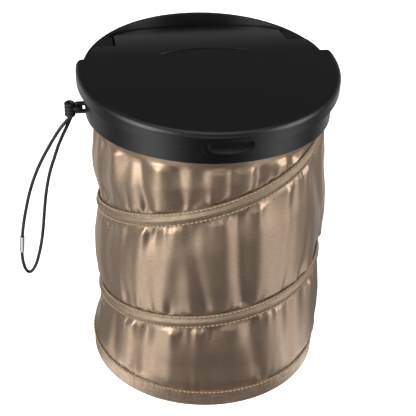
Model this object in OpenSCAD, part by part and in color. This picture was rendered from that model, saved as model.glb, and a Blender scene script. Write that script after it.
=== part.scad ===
// Pop-up bin for a car: a sprung fabric wall under a rigid collar with a hinged lid.
// Millimetres. Origin: middle of the underside. +Z is up and -Y is the front.

/* [Collar] */
// Height of the collar's rim at its middle
rim_h = 201.2; // [194:0.2:210]
// Outer radius of the collar at its rim
collar_r = 76.5; // [75:0.1:79]
// Slope of the rim and lid, in degrees
rim_slope = 7; // [5:0.5:8]
// Depth of the collar below the middle of its rim
collar_depth = 25.2; // [24:0.2:30]
// Thickness of the collar's wall
collar_wall = 2.4; // [2:0.1:2.8]

/* [Lid] */
// How far the lid stands out past the collar
lid_overhang = 3.5; // [3:0.1:5]
// Height of the lid's top above the rim
lid_rise = 4.4; // [4:0.1:5.4]
// Depth of the lid's front skirt
skirt_depth = 9; // [7:0.2:12]
// Thickness of the lid
lid_wall = 2.2; // [1.8:0.1:2.6]
// Radius of the bend of the lid's back half
lid_bend_r = 165; // [150:1:200]
// Diameter of the two hinge pins
pin_d = 4; // [3.4:0.1:4.4]

/* [Fabric wall] */
// How far the wall's foot stands out past the collar
foot_out = 0.7; // [0.2:0.1:3]
// Thickness of the fabric
cloth = 0.9; // [0.7:0.1:1.2]
// How far the fabric swells between two turns of the coil
puff = 2.6; // [1:0.1:3.2]
// Number of gathers round the wall
gathers = 24; // [18:1:25]
// Depth of a gather
gather_depth = 0.8; // [0.2:0.1:1]
// Height of the bound hem at the foot
hem_h = 12; // [10:0.5:14]

/* [Spring coil] */
// Diameter of the steel wire
wire_d = 1.6; // [1.2:0.1:2]
// Width of the channel tape that holds the wire
tape_w = 8.6; // [7.5:0.1:9.4]

/* [Hang cord] */
// Thickness of the elastic cord
cord_d = 2.1; // [1.6:0.1:2.1]
// Length of the metal ferrule
ferrule_len = 11.4; // [8:0.2:13]

/* [Hidden] */
big = 400;
// Collar
collar_low_z = rim_h - collar_depth;
collar_low_r = collar_r - 1.1;
collar_top_z = rim_h + 14;
collar_top_r = collar_r + (collar_r - collar_low_r) * 14 / collar_depth;
front_step_y = 5;
seat_gap = 0.3;
deck_x = collar_r - 21.5;
deck_y0 = 28;
deck_y1 = 46;
deck_t = 2.2;
// Hinge, in the sloping plane of the rim
hinge_y = 37.6;
hinge_z = -5.3;
pin_clear = 0.1;
pin_x0 = deck_x - 1;
pin_x1 = deck_x + 5.4;
boss_x1 = deck_x + 6;
boss_r = 5.4;
lug_t = 4;
lug_r = 4.5;
// Lid
lid_r = collar_r + lid_overhang;
lid_edge_r = 3.4;
ear_y = 10;
ear_r = 4;
mid_r = collar_r - 4.1;
mid_y = 27;
tongue_x = pin_x0;
tongue_r = collar_r - 4.5;
lip_low = -1;
line_r = 70;
line_y = -51;
line_w = 1.1;
line_h = 0.45;
// Finger scoop and the tab it is sunk in
scoop_r = 8.3;
scoop_half = 10.6;
scoop_z = -3.5;
scoop_cut = 1.4;
tab_r = 5.6;
// Bail for the cord
bail_z = rim_h - 21.3;
bail_gap = 2.3;
bail_bar = 2.8;
bail_x = collar_r + 3.9;
// Wall
neck_gap = 0.3;
neck_r = collar_low_r - collar_wall - neck_gap;
foot_r = collar_r + foot_out;
wall_z0 = 1.3;
wall_top = collar_low_z + 7;
belly = 2.1;
lean = 2.1;
around = gathers * 4;
rows = 30;
seam_flat = 7.4;
belly_top = collar_low_z - 26;
belly_run = 70;
lean_top = collar_low_z - 30;
lean_run = 28;
flare_top = hem_h + 20;
flare_run = 18;
gather_reach = 22;
// Ring that clamps the top of the fabric
ring_gap = 0.3;
ring_t = 2;
ring_z0 = collar_low_z + 0.4;
ring_z1 = collar_low_z + 7.4;
ring_r = neck_r - cloth - ring_gap;
// Hem, floor and board
hem_t = 0.5;
hem_gap = 0.2;
hem_r = foot_r - hem_t;
wall_foot = hem_r - hem_gap;
hem_in = foot_r - 4.6;
floor_t = 0.8;
board_t = 2;
board_r = hem_in - 0.9;
// Coil: rise in millimetres against turns, with a sway from side to side
coil_wall = 176;
coil_stretch = collar_low_z / coil_wall;
rise_0 = 14.4 * coil_stretch;
rise_1 = 91.6 * coil_stretch;
rise_2 = -49.1 * coil_stretch;
rise_3 = 22 * coil_stretch;
sway_x = 1.7;
sway_y = -2.1;
turn_0 = 0.02;
turn_1 = 1.94;
coil_steps = 90;
tape_gap = 0.8;
tape_t = 0.45;
wire_play = 0.15;
foot_coil_z = 4.6;
foot_coil_r = wall_foot - cloth - 0.6 - wire_d / 2;
// Cord: route of the hanging loop, x outward from the bin and z up
loop_x = [-84.6, -86.5, -90, -94, -98, -102.5, -106.7, -110.5, -113.4, -116, -118.5, -120.4, -121.3, -121.8,
          -121.6, -120.5, -118.7, -116.3, -113.5, -111, -108.5, -106.6, -105, -103.4, -101.5, -99, -96,
          -93, -89.7, -86.4, -84.2];
loop_z = [174.6, 172.5, 168.6, 163, 156.5, 148.7, 140.4, 131.2, 122.6, 113, 102.3, 91.5, 84.5, 77.5,
          70.5, 65.1, 62.5, 63.2, 67.9, 75.4, 85.7, 96.7, 108.5, 119.2, 128.8, 138.2, 146.6,
          154.8, 162, 168.6, 173.4];
loop_y = 1.3;
knot_x = bail_x + 4.3;
knot_z = bail_z - 0.7;
knot_r = 2.7;
knot_turns = 4;
ferrule_d = 2.9;
ferrule_x0 = -120.5;
ferrule_z0 = 90.7;
ferrule_tip = [-121.75, 78.2];

black = "#1c1c1c";
tan_cloth = "#b39c86";
tan_tape = "#a58c72";
cord_black = "#141414";
steel = "#9a9a9c";
board_grey = "#4a4744";

// Places a shape in the sloping plane of the rim
module on_rim() {
    translate([0, 0, rim_h]) {
        rotate([rim_slope, 0, 0]) {
            children();
        }
    }
}

// Everything on one side of a height in the sloping plane
module above(height) {
    on_rim() {
        translate([-big / 2, -big / 2, height]) {
            cube([big, big, big / 2]);
        }
    }
}

// Outer shape of the collar, taller than its rim
module collar_solid() {
    translate([0, 0, collar_low_z]) {
        cylinder(h = collar_top_z - collar_low_z, r1 = collar_low_r, r2 = collar_top_r, $fn = 120);
    }
}

// Inside of the collar
module collar_hollow() {
    translate([0, 0, collar_low_z - 1]) {
        cylinder(h = collar_top_z - collar_low_z + 2, r1 = collar_low_r - collar_wall,
                 r2 = collar_top_r - collar_wall, $fn = 120);
    }
}

// The collar's wall, higher in front of the ears, where the lid rests on it
module collar_shell() {
    difference() {
        collar_solid();
        collar_hollow();
        above(lid_rise - lid_wall - seat_gap);
        on_rim() {
            translate([-big / 2, front_step_y, 0]) {
                cube([big, big, big / 4]);
            }
        }
    }
}

// Shelf at both ends of the hinge, with the bosses under it
module hinge_deck(side) {
    intersection() {
        collar_solid();
        on_rim() {
            difference() {
                union() {
                    translate([side > 0 ? deck_x : -deck_x - 30, deck_y0, -deck_t]) {
                        cube([30, deck_y1 - deck_y0, deck_t]);
                    }
                    translate([side > 0 ? deck_x : -boss_x1, hinge_y - boss_r, hinge_z]) {
                        cube([boss_x1 - deck_x, boss_r * 2, -hinge_z - deck_t / 2]);
                    }
                    translate([side > 0 ? deck_x : -boss_x1, hinge_y, hinge_z]) {
                        rotate([0, 90, 0]) {
                            cylinder(h = boss_x1 - deck_x, r = boss_r, $fn = 40);
                        }
                    }
                    // Web between the boss and the wall
                    translate([side > 0 ? boss_x1 - 1 : -boss_x1 - 14, hinge_y - 1, hinge_z - 3]) {
                        cube([15, 2, 3 - hinge_z - deck_t / 2]);
                    }
                }
                translate([side > 0 ? deck_x - 1 : -boss_x1 - 1, hinge_y, hinge_z]) {
                    rotate([0, 90, 0]) {
                        cylinder(h = boss_x1 - deck_x + 2, d = pin_d + 2 * pin_clear, $fn = 40);
                    }
                }
            }
        }
    }
}

// Cutter for the finger scoop, a thick bar with round ends
module scoop() {
    translate([0, -(lid_r - scoop_cut + scoop_r), scoop_z]) {
        rotate([0, 90, 0]) {
            translate([0, 0, -scoop_half]) {
                cylinder(h = 2 * scoop_half, r = scoop_r, $fn = 60);
            }
        }
        for (side = [-1, 1]) {
            translate([side * scoop_half, 0, 0]) {
                sphere(r = scoop_r, $fn = 60);
            }
        }
    }
}

// Tab that carries the scoop below the skirt's edge
module scoop_tab() {
    intersection() {
        difference() {
            translate([0, 0, scoop_z - tab_r]) {
                cylinder(h = 2 * tab_r, r = lid_r, $fn = 144);
            }
            translate([0, 0, scoop_z - tab_r - 1]) {
                cylinder(h = 2 * tab_r + 2, r = lid_r - lid_wall, $fn = 144);
            }
        }
        union() {
            translate([-scoop_half, -big, scoop_z - tab_r]) {
                cube([2 * scoop_half, big, 1.6 * tab_r]);
            }
            for (side = [-1, 1]) {
                translate([side * scoop_half, 0, scoop_z]) {
                    rotate([90, 0, 0]) {
                        cylinder(h = big, r = tab_r, $fn = 48);
                    }
                }
            }
        }
    }
}

// Two bars and a post that hold the cord's knot
module bail() {
    bar_z = (bail_gap + bail_bar) / 2;
    for (side = [-1, 1]) {
        translate([-bail_x, 0, bail_z + side * bar_z]) {
            rotate([0, 90, 0]) {
                cylinder(h = bail_x - collar_low_r + 1.2, d = bail_bar, $fn = 32);
            }
        }
        translate([-bail_x, 0, bail_z + side * bar_z]) {
            sphere(d = bail_bar, $fn = 32);
        }
    }
    translate([-bail_x, 0, bail_z - bar_z]) {
        cylinder(h = 2 * bar_z, d = bail_bar, $fn = 32);
    }
}

module collar() {
    color(black) {
        collar_shell();
        hinge_deck(1);
        hinge_deck(-1);
        bail();
    }
}

// Cross-section of the lid's front: flat top, rounded edge and skirt
module lid_section() {
    difference() {
        union() {
            square([lid_r - lid_edge_r, lid_rise]);
            translate([0, lid_rise - skirt_depth]) {
                square([lid_r, skirt_depth - lid_edge_r]);
            }
            translate([lid_r - lid_edge_r, lid_rise - lid_edge_r]) {
                circle(r = lid_edge_r, $fn = 40);
            }
        }
        translate([-1, lid_rise - skirt_depth - 1]) {
            square([lid_r - lid_wall + 1, skirt_depth + 1 - lid_wall]);
        }
    }
}

// Front part of the lid, as far back as the ears
module lid_front() {
    intersection() {
        rotate_extrude($fn = 144) {
            lid_section();
        }
        union() {
            translate([-big / 2, -big + ear_y - ear_r, -big / 2]) {
                cube([big, big, big]);
            }
            translate([-(lid_r - ear_r), 0, -big / 2]) {
                cube([2 * (lid_r - ear_r), ear_y, big]);
            }
            for (side = [-1, 1]) {
                translate([side * (lid_r - ear_r - 0.3), ear_y - ear_r, -big / 2]) {
                    cylinder(h = big, r = ear_r, $fn = 40);
                }
            }
        }
    }
}

// Back part of the lid, bent down from the ears to the tongue's end
module lid_back_plan() {
    translate([0, 0, -20]) {
        intersection() {
            cylinder(h = 40, r = mid_r, $fn = 144);
            translate([-big / 2, ear_y - 1, 0]) {
                cube([big, mid_y - ear_y + 1, 40]);
            }
        }
        intersection() {
            cylinder(h = 40, r = tongue_r, $fn = 144);
            translate([-tongue_x, mid_y - 1, 0]) {
                cube([2 * tongue_x, big, 40]);
            }
        }
    }
}

module lid_back() {
    intersection() {
        lid_back_plan();
        difference() {
            translate([-big / 2, ear_y, lid_rise - lid_bend_r]) {
                rotate([0, 90, 0]) {
                    cylinder(h = big, r = lid_bend_r, $fn = 240);
                }
            }
            translate([-big / 2 - 1, ear_y, lid_rise - lid_bend_r]) {
                rotate([0, 90, 0]) {
                    cylinder(h = big + 2, r = lid_bend_r - lid_wall, $fn = 240);
                }
            }
        }
    }
}

// Lip that hangs inside the rim behind the ears
module lid_lip() {
    difference() {
        translate([0, 0, lip_low]) {
            cylinder(h = lid_rise - lid_wall - lip_low + 0.4, r = mid_r, $fn = 144);
        }
        translate([0, 0, lip_low - 1]) {
            cylinder(h = lid_rise + 4, r = mid_r - lid_wall, $fn = 144);
        }
        translate([-big / 2, -big + front_step_y, -big / 2]) {
            cube([big, big, big]);
        }
        translate([-big / 2, mid_y - 1, -big / 2]) {
            cube([big, big, big]);
        }
    }
}

// Lug and pin at one end of the hinge
module lid_lug(side) {
    translate([side > 0 ? pin_x0 - lug_t : -pin_x0, hinge_y - lug_r, hinge_z]) {
        cube([lug_t, 2 * lug_r, lid_rise - hinge_z - 4.2]);
    }
    translate([side > 0 ? pin_x0 - lug_t : -pin_x0, hinge_y, hinge_z]) {
        rotate([0, 90, 0]) {
            cylinder(h = lug_t, r = lug_r, $fn = 40);
        }
    }
    translate([side > 0 ? pin_x0 - 1 : -pin_x1, hinge_y, hinge_z]) {
        rotate([0, 90, 0]) {
            cylinder(h = pin_x1 - pin_x0 + 1, d = pin_d, $fn = 40);
        }
    }
}

// Thin raised line on the lid's top
module lid_line() {
    translate([0, line_y, lid_rise - 1]) {
        rotate([0, 0, 67]) {
            rotate_extrude(angle = 47, $fn = 180) {
                translate([line_r - line_w / 2, 0]) {
                    square([line_w, 1 + line_h - 0.1]);
                }
            }
        }
    }
}

module lid() {
    color(black) {
        on_rim() {
            difference() {
                union() {
                    lid_front();
                    scoop_tab();
                }
                scoop();
            }
            lid_back();
            lid_lip();
            lid_line();
            lid_lug(1);
            lid_lug(-1);
        }
    }
}

module retainer_ring() {
    color(black) {
        difference() {
            translate([0, 0, ring_z0]) {
                cylinder(h = ring_z1 - ring_z0, r = ring_r, $fn = 120);
            }
            translate([0, 0, ring_z0 - 1]) {
                cylinder(h = ring_z1 - ring_z0 + 2, r = ring_r - ring_t, $fn = 120);
            }
        }
    }
}

// Height of the coil after a number of turns
function coil_z(turn) = rise_0 + rise_1 * turn + rise_2 * pow(turn, 2) + rise_3 * pow(turn, 3)
    + sway_x * cos(360 * turn) + sway_y * sin(360 * turn);

// Distance up or down from a point of the wall to the nearest turn of the coil
function to_coil(angle, z) = min([for (turn = [-1, 0, 1, 2])
    let (place = min(turn_1, max(turn_0, angle / 360 + turn)))
    abs(angle / 360 + turn - place) > 0.5 ? big : abs(z - coil_z(place))
        + 60 * abs(angle / 360 + turn - place)]);

function to_seam(angle, z) = min([to_coil(angle, z), abs(z - collar_low_z)]);

// Number of turns of the coil that lie below a point of the wall, counted on round the wall
function turns_below(angle, z) = angle / 360
    + len([for (turn = [-1, 0, 1, 2]) if (coil_z(angle / 360 + turn) < z) 1]);

function smooth(value) = let (x = min(1, max(0, value))) x * x * (3 - 2 * x);

// Radius of the wall's cut, before it swells and gathers
function cut_r(z) = neck_r - 0.3 * smooth((collar_low_z - 2 - z) / 8)
    + belly * smooth((belly_top - z) / belly_run)
    + (wall_foot - neck_r + 0.3 - belly) * smooth((flare_top - z) / flare_run);

// Gathers run up and down, and fade out at the seams
function fold(angle, z) = let (gap = to_seam(angle, z))
    gather_depth * smooth((gap - seam_flat) / 4) * (0.7 + 0.3 * smooth((gather_reach - gap) / 14))
    * smooth((collar_low_z - z) / 6) * smooth((z - hem_h - 1) / 5)
    * (0.75 * cos(gathers * angle / 2 + 150 * turns_below(angle, z) + 50 * sin(5 * angle) + 0.9 * z)
        + 0.6 * cos(gathers * angle + 110 * turns_below(angle, z) + 90 * sin(3 * angle)));

function wall_r(angle, z) = cut_r(z)
    + puff * (smooth((to_seam(angle, z) - seam_flat) / 16) - 0.75)
        * smooth((collar_low_z - z) / 6) * smooth((z - hem_h) / 8)
    + lean * smooth((z - hem_h) / 26) * smooth((lean_top - z) / lean_run) * cos(angle + 10)
    + fold(angle, z);

module fabric_wall() {
    outer = [for (row = [0:rows - 1]) for (step = [0:around - 1])
        let (angle = 360 * step / around, z = wall_z0 + (wall_top - wall_z0) * row / (rows - 1))
        let (r = wall_r(angle, z))
        [r * cos(angle), r * sin(angle), z]];
    inner = [for (row = [0:rows - 1]) for (step = [0:around - 1])
        let (angle = 360 * step / around, z = wall_z0 + (wall_top - wall_z0) * row / (rows - 1))
        let (r = wall_r(angle, z) - cloth)
        [r * cos(angle), r * sin(angle), z]];
    count = rows * around;
    faces = concat(
        [for (row = [0:rows - 2]) for (step = [0:around - 1])
            let (a = row * around + step, b = row * around + (step + 1) % around)
            [a, a + around, b + around, b]],
        [for (row = [0:rows - 2]) for (step = [0:around - 1])
            let (a = count + row * around + step, b = count + row * around + (step + 1) % around)
            [a, b, b + around, a + around]],
        [for (step = [0:around - 1])
            let (a = step, b = (step + 1) % around)
            [a, b, count + b, count + a]],
        [for (step = [0:around - 1])
            let (a = count - around + step, b = count - around + (step + 1) % around)
            [a, count + a, count + b, b]]);
    color(tan_cloth) {
        polyhedron(points = concat(outer, inner), faces = faces, convexity = 6);
    }
}

// Sweeps a closed outline along the coil: each point is a distance out from the wall and a rise.
// Ends lists the flat faces that close each end.
module along_coil(outline, ends) {
    sides = len(outline);
    points = [for (step = [0:coil_steps])
        let (turn = turn_0 + (turn_1 - turn_0) * step / coil_steps, angle = 360 * turn, z = coil_z(turn))
        for (p = outline)
            let (r = wall_r(angle, z + p[1]) + tape_gap + p[0])
            [r * cos(angle), r * sin(angle), z + p[1]]];
    faces = concat(
        [for (step = [0:coil_steps - 1]) for (k = [0:sides - 1])
            let (a = step * sides + k, b = step * sides + (k + 1) % sides)
            [a, b, b + sides, a + sides]],
        [for (end = ends) [for (k = [len(end) - 1:-1:0]) end[k]]],
        [for (end = ends) [for (k = end) coil_steps * sides + k]]);
    polyhedron(points = points, faces = faces, convexity = 8);
}

// Strip sewn on the wall, arched over the wire
module channel_tape() {
    half = tape_w / 2;
    room = wire_d / 2 + wire_play;
    deep = wire_d + 2 * wire_play;
    color(tan_tape) {
        along_coil([[0, half], [0, room + 0.5], [deep, room - 0.3], [deep, 0.3 - room], [0, -room - 0.5],
                    [0, -half], [tape_t, -half], [tape_t, -room - 0.9], [deep + tape_t, -room + 0.2],
                    [deep + tape_t, room - 0.2], [tape_t, room + 0.9], [tape_t, half]],
                   [[0, 1, 10, 11], [1, 2, 9, 10], [2, 3, 8, 9], [3, 4, 7, 8], [4, 5, 6, 7]]);
    }
}

module spring_wire() {
    color(steel) {
        along_coil([for (k = [0:7]) [wire_play + wire_d / 2 + wire_d / 2 * cos(-45 * k),
                                     wire_d / 2 * sin(-45 * k)]],
                   [[for (k = [0:7]) k]]);
    }
}

// Closed turn of the coil inside the hem
module foot_coil() {
    color(steel) {
        translate([0, 0, foot_coil_z]) {
            rotate_extrude($fn = 96) {
                translate([foot_coil_r, 0]) {
                    circle(d = wire_d, $fn = 16);
                }
            }
        }
    }
}

module hem_binding() {
    color(tan_tape) {
        difference() {
            cylinder(h = hem_h, r = hem_r + hem_t, $fn = 120);
            translate([0, 0, hem_t]) {
                difference() {
                    cylinder(h = hem_h, r = hem_r, $fn = 120);
                    translate([0, 0, -1]) {
                        cylinder(h = hem_h + 2, r = hem_in + hem_t, $fn = 120);
                    }
                }
            }
            translate([0, 0, -1]) {
                cylinder(h = hem_h + 2, r = hem_in, $fn = 120);
            }
        }
    }
}

module floor_panel() {
    color(tan_cloth) {
        cylinder(h = floor_t, r = hem_in - 0.1, $fn = 120);
    }
}

module base_board() {
    color(board_grey) {
        translate([0, 0, floor_t]) {
            cylinder(h = board_t, r = board_r, $fn = 120);
        }
    }
}

// One straight length of cord with round ends
module cord_length(a, b, d) {
    span = [b[0] - a[0], b[1] - a[1], b[2] - a[2]];
    run = norm(span);
    translate(a) {
        rotate([0, acos(span[2] / run), atan2(span[1], span[0])]) {
            cylinder(h = run, d = d, $fn = 10);
        }
    }
    translate(b) {
        sphere(d = d, $fn = 10);
    }
}

module hang_cord() {
    last = len(loop_x) - 1;
    color(cord_black) {
        for (k = [0:last - 1]) {
            cord_length([loop_x[k], -loop_y + 2 * loop_y * k / last, loop_z[k]],
                        [loop_x[k + 1], -loop_y + 2 * loop_y * (k + 1) / last, loop_z[k + 1]], cord_d);
        }
    }
}

// Turns of the knot beside the bail, and the turn that goes through it
module cord_knot() {
    pitch = cord_d + 0.1;
    color(cord_black) {
        for (k = [0:knot_turns - 1]) {
            translate([-knot_x, 0, knot_z + (k - (knot_turns - 1) / 2) * pitch]) {
                rotate([8, 0, 0]) {
                    rotate_extrude($fn = 28) {
                        translate([knot_r - cord_d / 2 + 0.5, 0]) {
                            circle(d = cord_d + 0.3, $fn = 12);
                        }
                    }
                }
            }
        }
        translate([-bail_x, 0, bail_z]) {
            rotate_extrude($fn = 28) {
                translate([bail_bar / 2 + cord_d / 2 + 0.05, 0]) {
                    circle(d = cord_d, $fn = 12);
                }
            }
        }
    }
}

module cord_ferrule() {
    span = [ferrule_tip[0] - ferrule_x0, 0, ferrule_tip[1] - ferrule_z0];
    color(steel) {
        translate([ferrule_x0, -0.3, ferrule_z0]) {
            rotate([0, acos(span[2] / norm(span)), 180]) {
                difference() {
                    cylinder(h = ferrule_len, d = ferrule_d, $fn = 28);
                    translate([0, 0, -1]) {
                        cylinder(h = ferrule_len + 2, d = cord_d + 0.1, $fn = 28);
                    }
                }
            }
        }
    }
}

collar();
lid();
retainer_ring();
fabric_wall();
channel_tape();
spring_wire();
foot_coil();
hem_binding();
floor_panel();
base_board();
hang_cord();
cord_knot();
cord_ferrule();
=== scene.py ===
# A pop-up bin for a car: a gathered satin wall on a sprung coil, a moulded collar and a hinged lid.
# Lengths are in millimetres until a mesh is made, when MM turns them to metres.
import math

import bpy
import numpy as np
from mathutils import Matrix, Vector


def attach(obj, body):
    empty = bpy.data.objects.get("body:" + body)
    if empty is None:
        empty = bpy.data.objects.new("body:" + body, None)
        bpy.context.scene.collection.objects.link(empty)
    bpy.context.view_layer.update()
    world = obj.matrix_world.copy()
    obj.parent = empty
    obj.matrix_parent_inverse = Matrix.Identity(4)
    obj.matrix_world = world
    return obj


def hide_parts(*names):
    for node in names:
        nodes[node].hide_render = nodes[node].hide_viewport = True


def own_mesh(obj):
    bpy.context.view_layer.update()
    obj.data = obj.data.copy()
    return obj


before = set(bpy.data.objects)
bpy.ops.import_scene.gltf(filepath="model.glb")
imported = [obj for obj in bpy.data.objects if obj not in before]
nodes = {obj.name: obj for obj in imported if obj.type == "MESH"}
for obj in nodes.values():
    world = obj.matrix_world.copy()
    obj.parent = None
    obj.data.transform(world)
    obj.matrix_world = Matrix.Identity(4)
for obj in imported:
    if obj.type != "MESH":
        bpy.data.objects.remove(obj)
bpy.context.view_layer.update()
MM = 0.001

# Camera
# It stands 600 mm in front of the bin, a little to its left, and looks 31 degrees down on the lid.
# Its place, lens and shift were fitted to the outline of the real bin. Angles are in radians.
CAMERA_ELEVATION = 0.547
CAMERA_TURN = 0.17
CAMERA_ROLL = 0.022
CAMERA_DISTANCE = 600
LOOK_AT_Z = 96
IMAGE_SIDE = 416
FOCAL_PIXELS = 899.7
CENTRE_PIXEL = (205.401, 216.965)
SENSOR = 36

forward = Vector((math.cos(CAMERA_ELEVATION) * math.sin(CAMERA_TURN),
                  math.cos(CAMERA_ELEVATION) * math.cos(CAMERA_TURN),
                  -math.sin(CAMERA_ELEVATION)))
level = Vector((math.cos(CAMERA_TURN), -math.sin(CAMERA_TURN), 0))
upward = level.cross(forward)
right = level * math.cos(CAMERA_ROLL) + upward * math.sin(CAMERA_ROLL)
upright = upward * math.cos(CAMERA_ROLL) - level * math.sin(CAMERA_ROLL)
camera_data = bpy.data.cameras.new("camera")
camera_data.sensor_width = SENSOR
camera_data.lens = SENSOR * FOCAL_PIXELS / IMAGE_SIDE
camera_data.shift_x = (IMAGE_SIDE / 2 - CENTRE_PIXEL[0]) / IMAGE_SIDE
camera_data.shift_y = (CENTRE_PIXEL[1] - IMAGE_SIDE / 2) / IMAGE_SIDE
camera_data.clip_start = 0.01
camera = bpy.data.objects.new("camera", camera_data)
bpy.context.scene.collection.objects.link(camera)
turn_matrix = Matrix((right, upright, -forward)).transposed().to_4x4()
camera.matrix_world = Matrix.Translation(
    (Vector((0, 0, LOOK_AT_Z)) - forward * CAMERA_DISTANCE) * MM) @ turn_matrix
bpy.context.scene.camera = camera

# Hang cord
# Black elastic cord, a rubber core in a braided polyester sleeve, tied through the bail.
# It hangs in one long loop, and its two ends meet in the crimped ferrule.
CORD_D = 2.1
LOOP_Y = 1.3
LOOP = [(-84.6, 174.6), (-86.5, 172.5), (-90, 168.6), (-94, 163), (-98, 156.5), (-102.5, 148.7),
        (-106.7, 140.4), (-110.5, 131.2), (-113.4, 122.6), (-116, 113), (-118.5, 102.3),
        (-120.4, 91.5), (-121.3, 84.5), (-121.8, 77.5), (-121.6, 70.5), (-120.5, 65.1),
        (-118.7, 62.5), (-116.3, 63.2), (-113.5, 67.9), (-111, 75.4), (-108.5, 85.7),
        (-106.6, 96.7), (-105, 108.5), (-103.4, 119.2), (-101.5, 128.8), (-99, 138.2),
        (-96, 146.6), (-93, 154.8), (-89.7, 162), (-86.4, 168.6), (-84.2, 173.4)]


def linear(hex_colour):
    """A colour written as sRGB hex, as the linear values that a shader takes."""
    parts = [int(hex_colour[k:k + 2], 16) / 255 for k in (1, 3, 5)]
    return [p / 12.92 if p <= 0.04045 else ((p + 0.055) / 1.055) ** 2.4 for p in parts] + [1]


def add_node(tree, kind, settings=None, links=None):
    """Adds a shader node, sets its properties and sockets, and links its inputs."""
    made = tree.nodes.new(kind)
    for key, value in (settings or {}).items():
        if isinstance(key, str) and hasattr(made, key) and key not in made.inputs:
            setattr(made, key, value)
        else:
            made.inputs[key].default_value = value
    for key, source in (links or {}).items():
        tree.links.new(source, made.inputs[key])
    return made


def new_material(name):
    """An empty material and its node tree."""
    made = bpy.data.materials.new(name)
    made.use_nodes = True
    made.node_tree.nodes.clear()
    return made, made.node_tree


def surface(tree, shader):
    add_node(tree, "ShaderNodeOutputMaterial", links={"Surface": shader.outputs[0]})


def new_piece(name, points, faces, material, smooth=True, uv=None):
    """A mesh object from points in millimetres."""
    mesh = bpy.data.meshes.new(name)
    mesh.from_pydata((np.asarray(points) * MM).tolist(), [], faces)
    if uv is not None:
        layer = mesh.uv_layers.new(name="cloth")
        corners = np.zeros(len(mesh.loops), np.int32)
        mesh.loops.foreach_get("vertex_index", corners)
        layer.data.foreach_set("uv", np.asarray(uv, np.float32)[corners].ravel())
    mesh.polygons.foreach_set("use_smooth", [smooth] * len(mesh.polygons))
    mesh.materials.append(material)
    made = bpy.data.objects.new(name, mesh)
    bpy.context.scene.collection.objects.link(made)
    return made


def smooth_route(points, steps):
    """A Catmull-Rom line through the points, with some steps between each two."""
    p = np.asarray(points, float)
    p = np.vstack([2 * p[0] - p[1], p, 2 * p[-1] - p[-2]])
    out = []
    for k in range(1, len(p) - 2):
        for t in np.arange(steps) / steps:
            out.append(0.5 * (2 * p[k] + (p[k + 1] - p[k - 1]) * t
                              + (2 * p[k - 1] - 5 * p[k] + 4 * p[k + 1] - p[k + 2]) * t ** 2
                              + (3 * p[k] - p[k - 1] - 3 * p[k + 1] + p[k + 2]) * t ** 3))
    out.append(p[-2])
    return np.array(out)


def tube(route, radius, sides, swell=None):
    """Points and faces of a closed tube along a route."""
    route = np.asarray(route, float)
    ahead = np.gradient(route, axis=0)
    ahead /= np.linalg.norm(ahead, axis=1)[:, None]
    across = np.zeros_like(route)
    start = np.array([0, 1.0, 0]) if abs(ahead[0][1]) < 0.9 else np.array([1.0, 0, 0])
    for k in range(len(route)):
        start = start - ahead[k] * (start @ ahead[k])
        start /= np.linalg.norm(start)
        across[k] = start
    third = np.cross(ahead, across)
    turn = np.arange(sides) * 2 * np.pi / sides
    size = np.full(len(route), radius) if swell is None else np.asarray(swell)
    ring = (across[:, None] * np.cos(turn)[None, :, None] + third[:, None] * np.sin(turn)[None, :, None])
    points = (route[:, None] + ring * size[:, None, None]).reshape(-1, 3)
    faces = [(k * sides + s, k * sides + (s + 1) % sides, (k + 1) * sides + (s + 1) % sides,
              (k + 1) * sides + s) for k in range(len(route) - 1) for s in range(sides)]
    faces.append(tuple(range(sides))[::-1])
    faces.append(tuple((len(route) - 1) * sides + s for s in range(sides)))
    return points, faces


# Braided polyester sleeve: dull black, with a fine diagonal braid.
BRAID_MM = 1.1
braid, tree = new_material("braided_elastic")
where = add_node(tree, "ShaderNodeTexCoord")
braid_wave = add_node(tree, "ShaderNodeTexWave", {"Scale": 1 / (BRAID_MM * MM) / 20, "Distortion": 1.5,
                                                  "bands_direction": "DIAGONAL"},
                      {"Vector": where.outputs["Object"]})
braid_colour = add_node(tree, "ShaderNodeMix", {"data_type": "RGBA"}, {"Factor": braid_wave.outputs["Fac"]})
braid_colour.inputs[6].default_value = linear("#0c0c0d")
braid_colour.inputs[7].default_value = linear("#1d1d1f")
braid_bump = add_node(tree, "ShaderNodeBump", {"Strength": 0.5, "Distance": 0.0002},
                      {"Height": braid_wave.outputs["Fac"]})
surface(tree, add_node(tree, "ShaderNodeBsdfPrincipled", {"Roughness": 0.62},
                       {"Base Color": braid_colour.outputs[2], "Normal": braid_bump.outputs[0]}))

loop_line = [(x, -LOOP_Y + 2 * LOOP_Y * k / (len(LOOP) - 1), z) for k, (x, z) in enumerate(LOOP)]
cord_route = smooth_route(loop_line, 6)
cord_points, cord_faces = tube(cord_route, CORD_D / 2, 14)
hang_cord = new_piece("elastic_cord", cord_points, cord_faces, braid)
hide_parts("hang_cord")
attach(hang_cord, "collar")
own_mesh(hang_cord)
nodes["cord_knot"].data.materials.clear()
nodes["cord_knot"].data.materials.append(braid)

# Crimped ferrule
# A short tube of bright aluminium, drawn and cut to length, then pressed round the two ends of the
# cord. Fine draw lines break up its gloss.
metal, tree = new_material("crimped_aluminium")
where = add_node(tree, "ShaderNodeTexCoord")
drawn = add_node(tree, "ShaderNodeTexNoise", {"Scale": 900.0, "Detail": 3.0},
                 {"Vector": where.outputs["Object"]})
drawn_rough = add_node(tree, "ShaderNodeMapRange", {"To Min": 0.22, "To Max": 0.38},
                       {"Value": drawn.outputs["Fac"]})
surface(tree, add_node(tree, "ShaderNodeBsdfPrincipled", {"Base Color": linear("#c9c9cc"), "Metallic": 1.0},
                       {"Roughness": drawn_rough.outputs[0]}))
nodes["cord_ferrule"].data.materials.clear()
nodes["cord_ferrule"].data.materials.append(metal)

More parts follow.
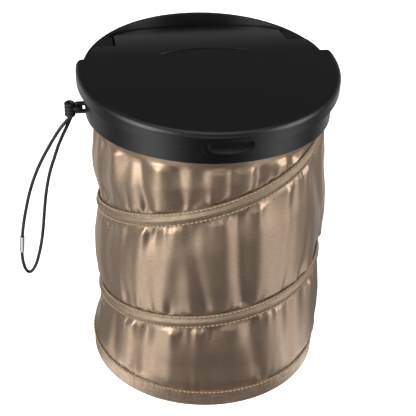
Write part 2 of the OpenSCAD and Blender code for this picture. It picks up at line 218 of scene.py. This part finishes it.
# Base board
# A disc of stiff grey sheet, pressed from waste fibre, that keeps the floor flat. It lies loose on
# the fabric floor, and short fibres mottle its dull face.
board_sheet, tree = new_material("pressed_board")
where = add_node(tree, "ShaderNodeTexCoord")
fibre = add_node(tree, "ShaderNodeTexNoise", {"Scale": 260.0, "Detail": 6.0},
                 {"Vector": where.outputs["Object"]})
fibre_colour = add_node(tree, "ShaderNodeMix", {"data_type": "RGBA"}, {"Factor": fibre.outputs["Fac"]})
fibre_colour.inputs[6].default_value = linear("#3b3936")
fibre_colour.inputs[7].default_value = linear("#55524d")
surface(tree, add_node(tree, "ShaderNodeBsdfPrincipled", {"Roughness": 0.8},
                       {"Base Color": fibre_colour.outputs[2]}))
nodes["base_board"].data.materials.clear()
nodes["base_board"].data.materials.append(board_sheet)

# Spring coil
# Bright drawn steel wire. One closed turn lies in the hem, and the rest climbs the wall under the
# tape, where it is made once the tape's line is known.
spring_steel, tree = new_material("drawn_spring_steel")
where = add_node(tree, "ShaderNodeTexCoord")
scale_marks = add_node(tree, "ShaderNodeTexNoise", {"Scale": 700.0, "Detail": 2.0},
                       {"Vector": where.outputs["Object"]})
scale_rough = add_node(tree, "ShaderNodeMapRange", {"To Min": 0.3, "To Max": 0.45},
                       {"Value": scale_marks.outputs["Fac"]})
surface(tree, add_node(tree, "ShaderNodeBsdfPrincipled", {"Base Color": linear("#8f9194"), "Metallic": 1.0},
                       {"Roughness": scale_rough.outputs[0]}))
nodes["foot_coil"].data.materials.clear()
nodes["foot_coil"].data.materials.append(spring_steel)

WIRE_D = 1.6
WIRE_OUT = 0.95
WALL_TOP = 183

# Fabric wall
# Champagne polyester satin, cut as one tube and gathered along every seam of the coil. The weave
# floats its warp threads over the face, so folds show as soft bright and dark streaks.
COIL_RISE = (14.4, 91.6, -49.1, 22)
COIL_SWAY = (1.7, -2.1)
COIL_TURNS = (0.02, 1.94)
NECK_R = 72.7
WALL_FOOT_R = 76.5
BELLY = 2.1
BELLY_TOP = 150
BELLY_RUN = 70
FLARE_TOP = 32
FLARE_RUN = 18
LEAN = 2.1
LEAN_TOP = 146
LEAN_RUN = 28
LEAN_TURN = 10
PUFF = 2.6
FOLD_DEPTH = 0.8
FOLD_BROAD = 1.9
FOLD_NARROW = 0.8
GATHERS = 24
SEAM_FLAT = 4.6
HEM_H = 12
NECK_Z = 176
WALL_LOW = 1.3
CLOTH = 0.9
FLOAT_THREADS = 9
WALL_AROUND = 360
WALL_ROWS = 130


def coil_height(turn):
    """Height of the coil after a number of turns."""
    return (COIL_RISE[0] + COIL_RISE[1] * turn + COIL_RISE[2] * turn ** 2 + COIL_RISE[3] * turn ** 3
            + COIL_SWAY[0] * np.cos(2 * np.pi * turn) + COIL_SWAY[1] * np.sin(2 * np.pi * turn))


def ease(value):
    x = np.clip(value, 0, 1)
    return x * x * (3 - 2 * x)


def coil_offset(turn, z):
    """Height above the nearest turn of the coil, below it where negative. Turn is counted from 0 to 1."""
    best = np.full(np.broadcast(turn, z).shape, 400.0)
    for lap in (-1, 0, 1, 2):
        place = np.clip(turn + lap, COIL_TURNS[0], COIL_TURNS[1])
        beyond = np.abs(turn + lap - place)
        up = z - coil_height(place)
        up = up + np.sign(up) * 60 * 6 * beyond
        best = np.where(np.abs(up) < np.abs(best), up, best)
    return best


def turns_below(turn, z):
    """Number of laps of the coil that lie below a point, counted on round the wall."""
    laps = sum((coil_height(turn + lap) < z).astype(float) for lap in (-1, 0, 1, 2))
    return turn + laps


def wall_radius(turn, z, fine=True):
    """Outer radius of the wall at an angle, in turns, and a height."""
    angle = 2 * np.pi * turn
    up = coil_offset(turn, z)
    gap = np.minimum(np.abs(up), np.abs(z - NECK_Z))
    lap = turns_below(turn, z)
    cut = (NECK_R - 0.3 * ease((NECK_Z - 2 - z) / 8) + BELLY * ease((BELLY_TOP - z) / BELLY_RUN)
           + (WALL_FOOT_R - NECK_R + 0.3 - BELLY) * ease((FLARE_TOP - z) / FLARE_RUN))
    swell = (PUFF * (ease((gap - SEAM_FLAT) / 24) - 0.75)
             * ease((NECK_Z - z) / 6) * ease((z - HEM_H) / 8))
    side = (LEAN * ease((z - HEM_H) / 26) * ease((LEAN_TOP - z) / LEAN_RUN)
            * np.cos(angle + math.radians(LEAN_TURN)))
    free = ease((NECK_Z - z) / 6) * ease((z - HEM_H - 1) / 5)
    spread = ease((gap - SEAM_FLAT) / 4) * (0.7 + 0.3 * ease((22 - gap) / 14)) * free
    lap_angle = np.radians(150 * lap)
    fold = FOLD_DEPTH * spread * (
        0.75 * np.cos(GATHERS / 2 * angle + lap_angle + 0.87 * np.sin(5 * angle) + np.radians(0.9 * z))
        + 0.6 * np.cos(GATHERS * angle + np.radians(110 * lap) + 1.57 * np.sin(3 * angle)))
    if not fine:
        return cut + swell + side + fold
    # Soft folds from seam to seam, with narrow crests and broad troughs
    wander = 1.9 * np.sin(4 * angle + 2.4 * lap) + 0.5 * np.sin(0.05 * z + 3 * angle + 5 * lap)
    first = 9 * angle + 3.1 * lap + wander + 0.024 * z
    second = 16 * angle + 4.7 * lap - 1.3 * wander - 0.035 * z
    broad = np.cos(first + 0.75 * np.sin(first))
    narrow = np.cos(second + 0.7 * np.sin(second + 1))
    uneven = 0.7 + 0.3 * np.sin(4 * angle + 2.2 * lap + 1)
    # The narrow ones die out away from the seams
    reach = 0.35 + 0.65 * ease((26 - gap) / 18)
    crumple = FOLD_BROAD * uneven * broad + FOLD_NARROW * reach * (1.7 - uneven) * narrow
    # Small puckers where the stitches take up the cloth
    near = np.minimum(np.abs(np.abs(up) - 4.6), np.abs(z - HEM_H))
    near = np.where(np.abs(up) < 4.6, 40, near)
    pucker_size = np.exp(-near / 5.5) * (0.55 + 0.45 * np.sin(9 * angle + 3 * lap))
    pucker = np.cos(58 * angle + 2.1 * np.sin(11 * angle) + 2.6 * lap + 1.2 * np.sin(3 * angle))
    pucker = pucker + 0.6 * np.cos(97 * angle + 2.3 * np.sin(8 * angle) + 4.1 * lap)
    groove = 0.5 * np.exp(-((up - 5.1) / 0.5) ** 2) * free
    return (cut + swell + side + fold - spread * crumple - groove
            + 0.7 * pucker * pucker_size * ease((np.abs(up) - 4.4) / 2) * ease((NECK_Z - z) / 6)
            * ease((z - HEM_H + 0.5) / 3))


def skin_grid(around, rows, low, high, outer, inner):
    """A closed tube of cloth from an outer and an inner radius."""
    turn, z = np.meshgrid(np.arange(around) / around, np.linspace(low, high, rows))
    angle = 2 * np.pi * turn
    layers = []
    for radius in (outer(turn, z), inner(turn, z)):
        layers.append(np.stack([radius * np.cos(angle), radius * np.sin(angle), z], 2).reshape(-1, 3))
    count = rows * around
    a = (np.arange(rows - 1)[:, None] * around + np.arange(around)[None]).ravel()
    b = (np.arange(rows - 1)[:, None] * around + (np.arange(around)[None] + 1) % around).ravel()
    faces = np.vstack([np.stack([a, b, b + around, a + around], 1),
                       np.stack([a, a + around, b + around, b], 1) + count]).tolist()
    one = np.arange(around)
    two = (one + 1) % around
    faces += np.stack([one + count, two + count, two, one], 1).tolist()
    top = count - around
    faces += np.stack([one + top, two + top, two + top + count, one + top + count], 1).tolist()
    uv = np.stack([turn.ravel() * 2 * np.pi * NECK_R * MM, z.ravel() * MM], 1)
    return np.vstack(layers), faces, np.vstack([uv, uv])


def satin(name, light, dark, roughness, thread_mm, sheen):
    """Woven polyester: fine threads across the cloth, a soft gloss and a pale sheen at grazing angles."""
    made, tree = new_material(name)
    where = add_node(tree, "ShaderNodeUVMap")
    along = add_node(tree, "ShaderNodeMapping",
                     {"Scale": (1 / (FLOAT_THREADS * thread_mm * MM), 1 / (thread_mm * MM), 1)},
                     {"Vector": where.outputs[0]})
    thread = add_node(tree, "ShaderNodeTexNoise", {"Scale": 1.0, "Detail": 3.0, "Roughness": 0.6},
                      {"Vector": along.outputs[0]})
    tone = add_node(tree, "ShaderNodeMapRange", {"From Min": 0.3, "From Max": 0.7},
                    {"Value": thread.outputs["Fac"]})
    colour = add_node(tree, "ShaderNodeMix", {"data_type": "RGBA"}, {"Factor": tone.outputs[0]})
    colour.inputs[6].default_value = linear(dark)
    colour.inputs[7].default_value = linear(light)
    bump = add_node(tree, "ShaderNodeBump", {"Strength": 0.2, "Distance": 0.0002},
                    {"Height": thread.outputs["Fac"]})
    surface(tree, add_node(tree, "ShaderNodeBsdfPrincipled",
                           {"Metallic": 0.78, "Roughness": roughness, "Sheen Weight": sheen,
                            "Sheen Roughness": 0.4, "Sheen Tint": linear("#e8d9c6")},
                           {"Base Color": colour.outputs[2], "Normal": bump.outputs[0]}))
    return made


# The real threads are finer: they are drawn as coarse as the render can show
SATIN_THREAD_MM = 0.45
wall_satin = satin("champagne_satin", "#aa937d", "#917c6a", 0.38, SATIN_THREAD_MM, 0.05)
wall_points, wall_faces, wall_uv = skin_grid(
    WALL_AROUND, WALL_ROWS, WALL_LOW, WALL_TOP, wall_radius,
    lambda turn, z: wall_radius(turn, z) - CLOTH)
wall = new_piece("satin_wall", wall_points, wall_faces, wall_satin, uv=wall_uv)
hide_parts("fabric_wall")
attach(wall, "base")
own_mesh(wall)

# Channel tape
# A strip of the same polyester in a plain weave, duller than the satin. It is folded over the coil
# and sewn down along both edges.
TAPE_W = 8.6
TAPE_OUTLINE = [(0.1, 4.3), (0.1, 2.2), (1.78, 0.7), (1.78, -0.7), (0.1, -2.2), (0.1, -4.3),
                (0.45, -4.5), (0.75, -4.1), (0.7, -2.6), (0.95, -1.9), (1.6, -1.2), (2.1, -0.4),
                (2.1, 0.4), (1.6, 1.2), (0.95, 1.9), (0.7, 2.6), (0.75, 4.1), (0.45, 4.5)]
TAPE_STEPS = 720
TAPE_THREAD_MM = 0.6
tape_cloth = satin("plain_woven_tape", "#9e8c77", "#897765", 0.6, TAPE_THREAD_MM, 0.05)
tape_turn = np.linspace(*COIL_TURNS, TAPE_STEPS)
tape_z = coil_height(tape_turn)
tape_base = wall_radius(tape_turn % 1, tape_z, fine=False)
sides = len(TAPE_OUTLINE)
tape_points = []
tape_uv = []
for k in range(TAPE_STEPS):
    angle = 2 * np.pi * tape_turn[k]
    # The stitches draw the tape's edges into small waves
    ripple = 0.12 * math.sin(131 * angle) + 0.1 * math.sin(83 * angle + 1)
    for j, (out, rise) in enumerate(TAPE_OUTLINE):
        edge = abs(rise) / (TAPE_W / 2)
        radius = tape_base[k] + out + ripple * edge * (0 if out < 0.4 else 1)
        tape_points.append((radius * math.cos(angle), radius * math.sin(angle), tape_z[k] + rise))
        tape_uv.append((tape_turn[k] * 2 * np.pi * NECK_R * MM, (j - rise) * MM))
tape_faces = [(k * sides + s, k * sides + (s + 1) % sides, (k + 1) * sides + (s + 1) % sides,
               (k + 1) * sides + s) for k in range(TAPE_STEPS - 1) for s in range(sides)]
tape_faces.append(tuple(range(sides))[::-1])
tape_faces.append(tuple((TAPE_STEPS - 1) * sides + s for s in range(sides)))
tape = new_piece("sewn_tape", tape_points, tape_faces, tape_cloth, uv=tape_uv)
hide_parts("channel_tape")
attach(tape, "base")
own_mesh(tape)

# The wire lies on the wall, a tube along the same line
wire_angle = 2 * np.pi * tape_turn
wire_route = np.stack([(tape_base + WIRE_OUT) * np.cos(wire_angle),
                       (tape_base + WIRE_OUT) * np.sin(wire_angle), tape_z], 1)
coil = new_piece("wire_coil", *tube(wire_route, WIRE_D / 2, 12), spring_steel)
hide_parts("spring_wire")
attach(coil, "base")
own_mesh(coil)

# Stitching
# Golden polyester thread in a lockstitch: a row along each edge of the tape, and a row round the
# hem. Each stitch is a small bead with both ends sunk in the cloth.
STITCH_PITCH = 2.7
STITCH_LENGTH = 2.1
STITCH_R = 0.48
HEM_STITCH_Z = 10.8
thread_gold, tree = new_material("sewing_thread")
where = add_node(tree, "ShaderNodeTexCoord")
ply = add_node(tree, "ShaderNodeTexNoise", {"Scale": 1500.0}, {"Vector": where.outputs["Object"]})
ply_colour = add_node(tree, "ShaderNodeMix", {"data_type": "RGBA"}, {"Factor": ply.outputs["Fac"]})
ply_colour.inputs[6].default_value = linear("#8a7456")
ply_colour.inputs[7].default_value = linear("#bba382")
surface(tree, add_node(tree, "ShaderNodeBsdfPrincipled", {"Roughness": 0.5},
                       {"Base Color": ply_colour.outputs[2]}))


def stitch_row(points):
    """One small sunk bead of thread for every stitch along a dense line of points."""
    points = np.asarray(points, float)
    run = np.concatenate([[0], np.cumsum(np.linalg.norm(np.diff(points, axis=0), axis=1))])
    made_points, made_faces = [], []
    count = int(run[-1] / STITCH_PITCH)
    for n in range(count):
        at = (n + 0.5) * run[-1] / count
        spots = at + STITCH_LENGTH * np.array([-0.5, -0.3, 0, 0.3, 0.5])
        line = np.stack([np.interp(spots, run, points[:, axis]) for axis in range(3)], 1)
        outward = line[2] * np.array([1, 1, 0])
        outward /= np.linalg.norm(outward)
        line = line + outward * np.array([-0.45, 0.05, 0.16, 0.05, -0.45])[:, None]
        bead, faces = tube(line, STITCH_R, 6, swell=STITCH_R * np.array([0.6, 0.95, 1, 0.95, 0.6]))
        base = sum(len(p) for p in made_points)
        made_points.append(bead)
        made_faces += [tuple(base + v for v in face) for face in faces]
    return np.vstack(made_points), made_faces


def joined(parts):
    """Several lots of points and faces as one."""
    points, faces, base = [], [], 0
    for some_points, some_faces in parts:
        points.append(some_points)
        faces += [tuple(base + v for v in face) for face in some_faces]
        base += len(some_points)
    return np.vstack(points), faces


rows_of_stitches = []
fine_turn = np.linspace(COIL_TURNS[0], COIL_TURNS[1], 2400)
for side in (-1, 1):
    z = coil_height(fine_turn)
    radius = wall_radius(fine_turn % 1, z, fine=False) + 0.85
    angle = 2 * np.pi * fine_turn
    rows_of_stitches.append(stitch_row(
        np.stack([radius * np.cos(angle), radius * np.sin(angle), z + side * 3.7], 1)))
seam_thread = new_piece("seam_thread", *joined(rows_of_stitches), thread_gold)
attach(seam_thread, "base")
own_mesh(seam_thread)

# Hem and floor
# The same satin, folded round the wall's foot and the lowest turn of the coil, with a flat disc
# of it for a floor.
HEM_R = 77.2
HEM_THREADS_PER_MM = 1.1
HEM_FLOATS_PER_MM = 0.12
HEM_PUCKERS_PER_MM = 0.23
HEM_RISE_PER_MM = 0.06
HEM_THREAD_OUT = 0.05
HEM_POINTS = 1200
hem_satin, tree = new_material("hem_satin")
where = add_node(tree, "ShaderNodeTexCoord")
hem_along = add_node(tree, "ShaderNodeMapping",
                     {"Scale": (HEM_FLOATS_PER_MM / MM, HEM_FLOATS_PER_MM / MM, HEM_THREADS_PER_MM / MM)},
                     {"Vector": where.outputs["Object"]})
hem_weave = add_node(tree, "ShaderNodeTexNoise", {"Scale": 1.0, "Detail": 3.0},
                     {"Vector": hem_along.outputs[0]})
hem_across = add_node(tree, "ShaderNodeMapping",
                      {"Scale": (HEM_PUCKERS_PER_MM / MM, HEM_PUCKERS_PER_MM / MM, HEM_RISE_PER_MM / MM)},
                      {"Vector": where.outputs["Object"]})
hem_pucker = add_node(tree, "ShaderNodeTexNoise", {"Scale": 1.0, "Detail": 1.5},
                      {"Vector": hem_across.outputs[0]})
hem_tone = add_node(tree, "ShaderNodeMapRange", {"From Min": 0.3, "From Max": 0.7},
                    {"Value": hem_weave.outputs["Fac"]})
hem_colour = add_node(tree, "ShaderNodeMix", {"data_type": "RGBA"}, {"Factor": hem_tone.outputs[0]})
hem_colour.inputs[6].default_value = linear("#917c6a")
hem_colour.inputs[7].default_value = linear("#b39c85")
hem_fold = add_node(tree, "ShaderNodeBump", {"Strength": 1.0, "Distance": 0.0025},
                    {"Height": hem_pucker.outputs["Fac"]})
hem_fine = add_node(tree, "ShaderNodeBump", {"Strength": 0.35, "Distance": 0.0003},
                    {"Height": hem_weave.outputs["Fac"], "Normal": hem_fold.outputs[0]})
surface(tree, add_node(tree, "ShaderNodeBsdfPrincipled",
                       {"Metallic": 0.7, "Roughness": 0.42, "Sheen Weight": 0.05, "Sheen Roughness": 0.4},
                       {"Base Color": hem_colour.outputs[2], "Normal": hem_fine.outputs[0]}))
hem_angle = np.linspace(0, 1, HEM_POINTS, endpoint=False) * 2 * np.pi
hem_thread_r = HEM_R + HEM_THREAD_OUT
hem_thread = new_piece("hem_thread", *stitch_row(
    np.stack([hem_thread_r * np.cos(hem_angle), hem_thread_r * np.sin(hem_angle),
              np.full(HEM_POINTS, HEM_STITCH_Z)], 1)), thread_gold)
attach(hem_thread, "base")
# The floor has the back of the cloth outward, which is dull
floor_cloth = hem_satin.copy()
floor_cloth.name = "satin_back"
for part in floor_cloth.node_tree.nodes:
    if part.type == "BSDF_PRINCIPLED":
        part.inputs["Metallic"].default_value = 0.1
        part.inputs["Roughness"].default_value = 0.75
for name, cloth in (("hem_binding", hem_satin), ("floor_panel", floor_cloth)):
    nodes[name].data.materials.clear()
    nodes[name].data.materials.append(cloth)

# Collar, retainer ring and lid
# Black polypropylene, injection moulded in a tool with a fine spark texture: a dull face that
# turns glossy only where it bends towards a light.
GRAIN_MM = 0.5


def moulded(name, colour, pale, roughness):
    """Textured moulding: fine grain in the gloss and the normal."""
    made, tree = new_material(name)
    where = add_node(tree, "ShaderNodeTexCoord")
    grain = add_node(tree, "ShaderNodeTexNoise", {"Scale": 1 / (GRAIN_MM * MM), "Detail": 2.0},
                     {"Vector": where.outputs["Object"]})
    cloud = add_node(tree, "ShaderNodeTexNoise", {"Scale": 30.0, "Detail": 3.0},
                     {"Vector": where.outputs["Object"]})
    tone = add_node(tree, "ShaderNodeMix", {"data_type": "RGBA"}, {"Factor": cloud.outputs["Fac"]})
    tone.inputs[6].default_value = linear(colour)
    tone.inputs[7].default_value = linear(pale)
    gloss = add_node(tree, "ShaderNodeMapRange", {"To Min": roughness - 0.06, "To Max": roughness + 0.06},
                     {"Value": grain.outputs["Fac"]})
    # The tool leaves every edge a little round
    soft_edge = add_node(tree, "ShaderNodeBevel", {"samples": 6, "Radius": 0.00045})
    bump = add_node(tree, "ShaderNodeBump", {"Strength": 0.12, "Distance": 0.0001},
                    {"Height": grain.outputs["Fac"], "Normal": soft_edge.outputs[0]})
    surface(tree, add_node(tree, "ShaderNodeBsdfPrincipled", {"IOR": 1.49},
                           {"Base Color": tone.outputs[2], "Roughness": gloss.outputs[0],
                            "Normal": bump.outputs[0]}))
    return made


lid_plastic = moulded("textured_polypropylene", "#090909", "#0c0c0c", 0.34)
for name in ("collar", "retainer_ring", "lid"):
    nodes[name].data.materials.clear()
    nodes[name].data.materials.append(lid_plastic)

# Room
# A white floor and sweep under two tall soft boxes, with a weak front fill. Each bar of light in the
# sweep is a bearing in radians from the front, a half width in radians and a strength.
SWEEP_BASE = 0.03
SWEEP_BARS = ((-1.0, 0.34, 1.9), (0.95, 0.34, 1.45), (2.4, 0.5, 0.75), (-2.4, 0.5, 0.75))
floor_white, tree = new_material("white_floor")
where = add_node(tree, "ShaderNodeTexCoord")
paper = add_node(tree, "ShaderNodeTexNoise", {"Scale": 40.0}, {"Vector": where.outputs["Object"]})
paper_tone = add_node(tree, "ShaderNodeMix", {"data_type": "RGBA"}, {"Factor": paper.outputs["Fac"]})
paper_tone.inputs[6].default_value = linear("#f4f4f4")
paper_tone.inputs[7].default_value = linear("#f8f8f8")
paper_face = add_node(tree, "ShaderNodeBsdfPrincipled", {"Roughness": 0.9, "Specular IOR Level": 0.1},
                      {"Base Color": paper_tone.outputs[2]})
ray = add_node(tree, "ShaderNodeLightPath")
paper_glow = add_node(tree, "ShaderNodeEmission", {"Color": (1, 1, 1, 1)},
                      {"Strength": ray.outputs["Is Camera Ray"]})
paper_seen = add_node(tree, "ShaderNodeAddShader",
                      links={0: paper_face.outputs[0], 1: paper_glow.outputs[0]})
# What a glossy face sees in the floor: light from the two sides of the sweep, little from the front
spot = add_node(tree, "ShaderNodeSeparateXYZ", links={0: where.outputs["Object"]})
toward = add_node(tree, "ShaderNodeMath", {"operation": "MULTIPLY", 1: -1.0}, {0: spot.outputs[1]})
bearing = add_node(tree, "ShaderNodeMath", {"operation": "ARCTAN2"},
                   {0: spot.outputs[0], 1: toward.outputs[0]})
sweep = None
for centre, width, strength in SWEEP_BARS:
    off = add_node(tree, "ShaderNodeMath", {"operation": "SUBTRACT", 1: centre}, {0: bearing.outputs[0]})
    part = add_node(tree, "ShaderNodeMath", {"operation": "DIVIDE", 1: width}, {0: off.outputs[0]})
    square = add_node(tree, "ShaderNodeMath", {"operation": "MULTIPLY"},
                      {0: part.outputs[0], 1: part.outputs[0]})
    minus = add_node(tree, "ShaderNodeMath", {"operation": "MULTIPLY", 1: -1.0}, {0: square.outputs[0]})
    bell = add_node(tree, "ShaderNodeMath", {"operation": "EXPONENT"}, {0: minus.outputs[0]})
    total = add_node(tree, "ShaderNodeMath", {"operation": "MULTIPLY_ADD", 1: strength, 2: SWEEP_BASE},
                     {0: bell.outputs[0]})
    if sweep is not None:
        tree.links.new(sweep.outputs[0], total.inputs[2])
    sweep = total
sweep_glow = add_node(tree, "ShaderNodeEmission", {"Color": (1, 1, 1, 1)}, {"Strength": sweep.outputs[0]})
surface(tree, add_node(tree, "ShaderNodeMixShader",
                       links={0: ray.outputs["Is Glossy Ray"], 1: paper_seen.outputs[0],
                              2: sweep_glow.outputs[0]}))
bpy.ops.mesh.primitive_plane_add(size=30, location=(0, 0, 0))
ground = bpy.context.active_object
ground.name = "ground"
ground.data.materials.append(floor_white)

world = bpy.data.worlds.new("studio")
bpy.context.scene.world = world
world.use_nodes = True
tree = world.node_tree
tree.nodes.clear()
ray = add_node(tree, "ShaderNodeLightPath")
seen = add_node(tree, "ShaderNodeBackground", {"Color": (1, 1, 1, 1), "Strength": 1.0})
# A glossy face sees a dim room with one bright panel overhead
look = add_node(tree, "ShaderNodeTexCoord")
height = add_node(tree, "ShaderNodeSeparateXYZ", links={0: look.outputs["Generated"]})
horizon = add_node(tree, "ShaderNodeMapRange", {"interpolation_type": "SMOOTHSTEP", "From Min": 0.05,
                                                "From Max": 0.6, "To Min": 0.3, "To Max": 0.07},
                   {"Value": height.outputs[2]})
panel = add_node(tree, "ShaderNodeMapRange", {"interpolation_type": "SMOOTHSTEP", "From Min": 0.86,
                                              "From Max": 0.97, "To Max": 1.6},
                 {"Value": height.outputs[2], "To Min": horizon.outputs[0]})
fill_seen = add_node(tree, "ShaderNodeMapRange", {"To Min": 0.25},
                     {"Value": ray.outputs["Is Glossy Ray"], "To Max": panel.outputs[0]})
fill = add_node(tree, "ShaderNodeBackground", {"Color": (1, 1, 1, 1)}, {"Strength": fill_seen.outputs[0]})
both = add_node(tree, "ShaderNodeMixShader", links={"Fac": ray.outputs["Is Camera Ray"]})
tree.links.new(fill.outputs[0], both.inputs[1])
tree.links.new(seen.outputs[0], both.inputs[2])
add_node(tree, "ShaderNodeOutputWorld", links={"Surface": both.outputs[0]})


def soft_box(name, place, aim, width, height, power):
    """A rectangular lamp that faces a point."""
    data = bpy.data.lights.new(name, "AREA")
    data.shape = "RECTANGLE"
    data.size = width
    data.size_y = height
    data.energy = power
    made = bpy.data.objects.new(name, data)
    bpy.context.scene.collection.objects.link(made)
    made.location = place
    made.rotation_mode = "QUATERNION"
    made.rotation_quaternion = (Vector(aim) - Vector(place)).to_track_quat("-Z", "Y")
    return made


soft_box("left_box", (-1.2, -0.7, 0.7), (0, 0, 0.1), 0.8, 1.3, 22)
soft_box("right_box", (1.2, -0.6, 0.7), (0, 0, 0.1), 0.7, 1.3, 14)
soft_box("front_fill", (-0.1, -1.5, 0.5), (0, 0, 0.1), 0.9, 0.9, 1.5)

bpy.context.scene.view_settings.view_transform = "Standard"
